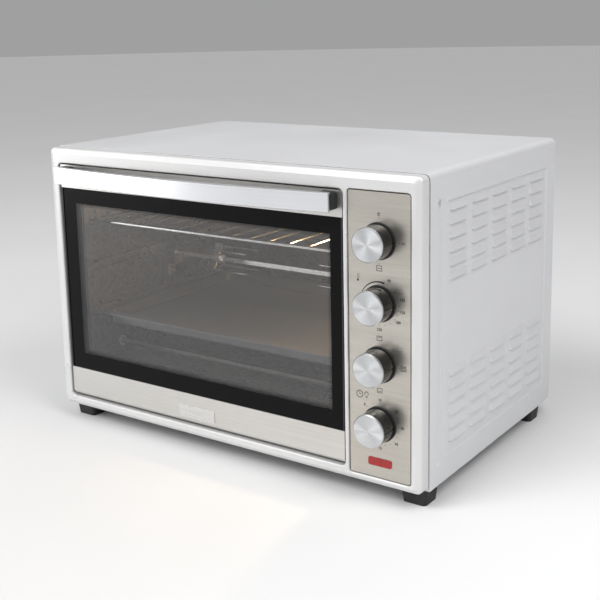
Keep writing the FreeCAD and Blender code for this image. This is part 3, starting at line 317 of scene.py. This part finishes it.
def door_glass():
    """Clear pane with a black printed border, which fades in over the window's rim."""
    s = Shader("door_glass", Specular_IOR_Level=0.1)
    edge = window_edge(s)
    printed = s.remap(edge, -PRINT_SOFTNESS, PRINT_SOFTNESS, 0.0, 1.0)
    fade = s.remap(edge, -FADE_WIDTH, 0.0, 0.0, 0.35)
    border = s.math("MAXIMUM", printed, fade)
    smear = s.noise(6.0, 4.0)
    s.set("Base Color", s.blend(smear, tone(8, 8, 9), tone(12, 12, 14)))
    s.set("Roughness", s.spread(smear, 0.03, 0.09))
    clear = s.node("ShaderNodeBsdfTransparent")
    clear.inputs["Color"].default_value = tone(240, 240, 240)
    gloss = s.node("ShaderNodeBsdfGlossy")
    gloss.inputs["Color"].default_value = (1.0, 1.0, 1.0, 1.0)
    s.link(s.spread(smear, 0.01, 0.05), gloss.inputs["Roughness"])
    facing = s.node("ShaderNodeLayerWeight").outputs["Facing"]
    mirror = s.math("ADD", 0.05, s.math("MULTIPLY", 0.9, s.math("POWER", facing, 5.0)))
    window = s.layered(mirror, clear, gloss)
    haze = s.node("ShaderNodeBsdfDiffuse")
    s.link(s.blend(smear, tone(150, 150, 152), tone(168, 168, 170)), haze.inputs["Color"])
    veiled = s.layered(0.02, window, haze)
    whole = s.layered(border, veiled, s.main)
    s.link(whole.outputs[0], s.output.inputs[0])
    return s


def window_edge(s):
    """Distance outwards from the edge of the door's window, negative inside it."""
    low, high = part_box("door_glass")
    left, right = low[0] + WINDOW_LEFT_MARGIN, high[0] - WINDOW_RIGHT_MARGIN
    bottom, top = low[2] + WINDOW_BOTTOM_MARGIN, high[2] - WINDOW_TOP_MARGIN
    x, _, z = s.axes(s.object)
    across = s.math("SUBTRACT", s.math("ABSOLUTE", s.math("SUBTRACT", x, (left + right) / 2)),
                    (right - left) / 2)
    upward = s.math("SUBTRACT", s.math("ABSOLUTE", s.math("SUBTRACT", z, (bottom + top) / 2)),
                    (top - bottom) / 2)
    return s.math("MAXIMUM", across, upward)


def assign_materials():
    for part in frame["record"]["subparts"]:
        NODES[part["node"]].material_slots[0].material = MATERIALS[part["material_slot"]]


# ---- Printed marks on the control panel -------------------------------------------------------
INK_THICKNESS = 0.06 * MM
NUMBER_SIZE = 4.4 * MM
NUMBER_BOLDNESS = 0.1 * MM
STROKE = 0.65                  # stroke widths, lengths and radii of the marks are in millimetres
THIN_STROKE = 0.6


def around(turn, radius):
    """The point at an angle in degrees on a ring about a knob."""
    return radius * math.cos(math.radians(turn)), radius * math.sin(math.radians(turn))


class Print:
    """Thin ink shapes on the panel's face, drawn in millimetres from a centre (x, z)."""

    def __init__(self, face_y):
        self.mesh = bmesh.new()
        self.face_y = face_y
        self.centre = (0.0, 0.0)

    def at(self, u, v):
        return Vector((self.centre[0] + u * MM, self.face_y, self.centre[1] + v * MM))

    def patch(self, points):
        """A prism over a polygon that runs anticlockwise as seen from the front."""
        lift = Vector((0, -INK_THICKNESS, 0))
        back = [self.mesh.verts.new(self.at(u, v)) for u, v in points]
        front = [self.mesh.verts.new(self.at(u, v) + lift) for u, v in points]
        self.mesh.faces.new(front)
        self.mesh.faces.new(back[::-1])
        for i in range(len(points)):
            j = (i + 1) % len(points)
            self.mesh.faces.new((front[j], front[i], back[i], back[j]))

    def line(self, u0, v0, u1, v1, width=STROKE):
        length = math.hypot(u1 - u0, v1 - v0)
        a, b = (u1 - u0) / length * width / 2, (v1 - v0) / length * width / 2
        self.patch([(u0 - a + b, v0 - b - a), (u1 + a + b, v1 + b - a),
                    (u1 + a - b, v1 + b + a), (u0 - a - b, v0 - b + a)])

    def dot(self, u, v, radius=0.55):
        turns = [2 * math.pi * i / 12 for i in range(12)]
        self.patch([(u + radius * math.cos(t), v + radius * math.sin(t)) for t in turns])

    def arc(self, u, v, radius, start, end, width_start, width_end, steps):
        """A curved stroke, anticlockwise from start to end degrees, whose width may change."""
        outer, inner = [], []
        for i in range(steps + 1):
            share = i / steps
            turn = math.radians(start + (end - start) * share)
            half = (width_start + (width_end - width_start) * share) / 2
            outer.append((u + (radius + half) * math.cos(turn),
                          v + (radius + half) * math.sin(turn)))
            inner.append((u + (radius - half) * math.cos(turn),
                          v + (radius - half) * math.sin(turn)))
        for i in range(steps):
            self.patch([inner[i], outer[i], outer[i + 1], inner[i + 1]])

    def frame(self, u, v, width, height):
        """A rectangle's outline about a point."""
        for side in (-1, 1):
            self.line(u - width / 2, v + side * height / 2, u + width / 2, v + side * height / 2)
            self.line(u + side * width / 2, v - height / 2, u + side * width / 2, v + height / 2)

    def number(self, u, v, text):
        curve = bpy.data.curves.new("number", "FONT")
        curve.body = text
        curve.size = NUMBER_SIZE
        curve.align_x = "CENTER"
        curve.align_y = "CENTER"
        curve.offset = NUMBER_BOLDNESS
        curve.extrude = INK_THICKNESS / 2
        thing = show("number", curve)
        mesh = bpy.data.meshes.new_from_object(thing)
        centre = self.at(u, v) - Vector((0, INK_THICKNESS / 2, 0))
        mesh.transform(Matrix.Translation(centre) @ Matrix.Rotation(math.radians(90), 4, "X"))
        self.mesh.from_mesh(mesh)
        bpy.data.objects.remove(thing)
        bpy.data.curves.remove(curve)
        bpy.data.meshes.remove(mesh)

    def finish(self, name):
        mesh = bpy.data.meshes.new(name)
        self.mesh.to_mesh(mesh)
        self.mesh.free()
        mesh.materials.append(MATERIALS["panel_ink"])
        thing = show(name, mesh)
        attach(thing, "case")


def knob_centre(control):
    low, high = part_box(control + "_knob_cap")
    return (low[0] + high[0]) / 2, (low[2] + high[2]) / 2


def function_marks(ink):
    """A ring with a stroke at the top, two bars at the right, a box with a bar below."""
    ink.dot(0, 25.4)
    ink.arc(0, 29.2, 1.5, 20, 340, STROKE, STROKE, 14)
    ink.line(0, 29.2, 0, 31.6)
    ink.line(24.8, 0, 25.9, 0, THIN_STROKE)
    for rise in (0.9, -0.9):
        ink.line(27.6, rise, 32.4, rise)
    ink.dot(0, -25.2)
    ink.frame(0.2, -30.2, 6.4, 5.6)
    ink.line(-1.8, -30.2, 2.2, -30.2, THIN_STROKE)


def temperature_marks(ink):
    """A thermometer, a wedge that widens clockwise, and a scale of degrees."""
    stem, dot_ring, number_ring = -26.8, 24.8, 29.6
    ink.line(stem, 24.6, stem, 30.4, 0.7)
    ink.dot(stem, 23.4, 1.3)
    for rise in (26.0, 28.0, 30.0):
        ink.line(-25.4, rise, -24.2, rise, 0.35)
    ink.arc(0, 0, 24.2, 74, 156, 2.0, 0.7, 24)
    for turn, text in ((65, "90"), (15, "120"), (-12, "150"), (-38, "180"), (-90, "230")):
        ink.number(*around(turn, number_ring), text)
    for turn in (40, 65, 15, 2, -12, -25, -38, -56, -73, -90):
        ink.dot(*around(turn, dot_ring), 0.5)


def heat_marks(ink):
    """Three boxes for the heaters that are on: the top one, both, the bottom one."""
    for turn in (90, 0, -90):
        ink.frame(*around(turn, 30.0), 6.2, 5.0)
        ink.dot(*around(turn, 25.0), 0.45)
    ink.line(-1.8, 31.0, 1.8, 31.0, THIN_STROKE)
    for rise in (1.0, -1.0):
        ink.line(28.2, rise, 31.8, rise, THIN_STROKE)
    ink.line(-1.8, -31.0, 1.8, -31.0, THIN_STROKE)


def timer_marks(ink):
    """A clock face, a bulb and a scale of minutes."""
    clock_u, clock_v, dot_ring, number_ring = -25.8, 31.0, 24.4, 28.4
    ink.arc(clock_u, clock_v, 4.0, 0, 360, 0.8, 0.8, 28)
    ink.line(clock_u, clock_v, clock_u, 33.6)
    ink.line(clock_u, clock_v, -24.0, clock_v)
    ink.arc(-17.0, 32.4, 2.3, -50, 230, 0.75, 0.75, 16)
    for rise in (29.2, 28.0):
        ink.line(-18.0, rise, -16.0, rise)
    for turn, text in ((90, "10"), (42, "20"), (2, "30"), (-42, "45"), (-90, "60")):
        ink.number(*around(turn, number_ring), text)
    ink.number(-19.4, 19.6, "0")
    for turn in (134, 112, 90, 74, 58, 42, 28, 15, 2, -12, -27, -42, -58, -74, -90):
        ink.dot(*around(turn, dot_ring), 0.5)


def panel_marks():
    ink = Print(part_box("control_panel")[0][1])
    for control, draw in (("function", function_marks), ("temperature", temperature_marks),
                          ("heat", heat_marks), ("timer", timer_marks)):
        ink.centre = knob_centre(control)
        draw(ink)
    ink.finish("panel_marks")


# ---- Light, floor and camera ------------------------------------------------------------------
FLOOR_RADIUS = 14.0
LIGHT_TARGET = (0.0, 0.0, 0.18)
AREA_LIGHTS = (                # name, place, width, height, watts
    ("key", (-0.7, -2.5, 2.3), 2.4, 2.0, 34.0),
    ("side", (1.35, -0.35, 1.75), 1.2, 1.2, 27.0),
    ("top", (0.0, 0.5, 2.6), 2.0, 2.0, 7.0),
    ("low_left", (-2.0, -1.35, 0.6), 1.4, 1.2, 14.0),
)
SUN_DIRECTION = (0.5, 1.0, -1.2)
SUN_STRENGTH = 1.3
SUN_SPREAD = 30.0
LAMP_WATTS = 1.6
LAMP_COLOUR = (1.0, 0.7, 0.36)
LAMP_RADIUS = 0.008
LAMP_DEPTH = 0.012             # into the cavity from the lamp glass
WORLD_STRENGTH = 0.42
CAMERA_PLACE = (0.7978, -1.1374, 0.5468)
CAMERA_AZIMUTH = 34.904
CAMERA_ELEVATION = 11.201
CAMERA_ROLL = -1.146
CAMERA_LENS = 64.02
CAMERA_SHIFT = -0.13           # keeps the photograph's framing


def aimed(direction):
    """The rotation of a light that shines along a direction."""
    return Vector(direction).to_track_quat("-Z", "Y").to_euler()


def area_light(name, place, width, height, energy):
    data = bpy.data.lights.new(name, "AREA")
    data.shape = "RECTANGLE"
    data.size = width
    data.size_y = height
    data.energy = energy
    thing = show(name, data)
    thing.location = place
    thing.rotation_euler = aimed(Vector(LIGHT_TARGET) - Vector(place))


def fill_sun():
    data = bpy.data.lights.new("fill_sun", "SUN")
    data.energy = SUN_STRENGTH
    data.angle = math.radians(SUN_SPREAD)
    show("fill_sun", data).rotation_euler = aimed(SUN_DIRECTION)


def oven_lamp():
    """The warm glow of the oven's own lamp, just inside its glass."""
    low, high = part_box("oven_lamp_glass")
    data = bpy.data.lights.new("oven_lamp", "POINT")
    data.energy = LAMP_WATTS
    data.color = LAMP_COLOUR
    data.shadow_soft_size = LAMP_RADIUS
    show("oven_lamp", data).location = (low[0] - LAMP_DEPTH, (low[1] + high[1]) / 2,
                                        (low[2] + high[2]) / 2)


def world():
    made = bpy.data.worlds.new("studio")
    bpy.context.scene.world = made
    made.use_nodes = True
    back = made.node_tree.nodes["Background"]
    back.inputs["Color"].default_value = tone(236, 236, 237)
    back.inputs["Strength"].default_value = WORLD_STRENGTH


def lights():
    world()
    for name, place, width, height, energy in AREA_LIGHTS:
        area_light(name, place, width, height, energy)
    fill_sun()
    oven_lamp()


def floor():
    mesh = bpy.data.meshes.new("studio_floor")
    shape = bmesh.new()
    bmesh.ops.create_circle(shape, cap_ends=True, segments=96, radius=FLOOR_RADIUS)
    shape.to_mesh(mesh)
    shape.free()
    thing = show("studio_floor", mesh)
    s = Shader("studio_floor", Roughness=0.6)
    s.set("Base Color", s.blend(s.noise(3.0, 3.0), tone(212, 212, 212), tone(218, 218, 218)))
    mesh.materials.append(s.material)


def camera():
    azimuth, elevation, roll = (math.radians(angle) for angle in
                                (CAMERA_AZIMUTH, CAMERA_ELEVATION, CAMERA_ROLL))
    back = Vector((math.sin(azimuth) * math.cos(elevation),
                   -math.cos(azimuth) * math.cos(elevation), math.sin(elevation)))
    level = Vector((0, 0, 1)).cross(back).normalized()
    up = back.cross(level)
    across = math.cos(roll) * level + math.sin(roll) * up
    upward = -math.sin(roll) * level + math.cos(roll) * up
    data = bpy.data.cameras.new("camera")
    data.sensor_width = 36.0
    data.lens = CAMERA_LENS
    data.shift_y = CAMERA_SHIFT
    data.clip_end = 100.0
    thing = show("camera", data)
    place = Matrix((across, upward, back)).transposed().to_4x4()
    place.translation = Vector(CAMERA_PLACE)
    thing.matrix_world = place
    bpy.context.scene.camera = thing


bpy.context.scene.view_settings.view_transform = "Standard"
build_materials()
assign_materials()
panel_marks()
floor()
lights()
camera()
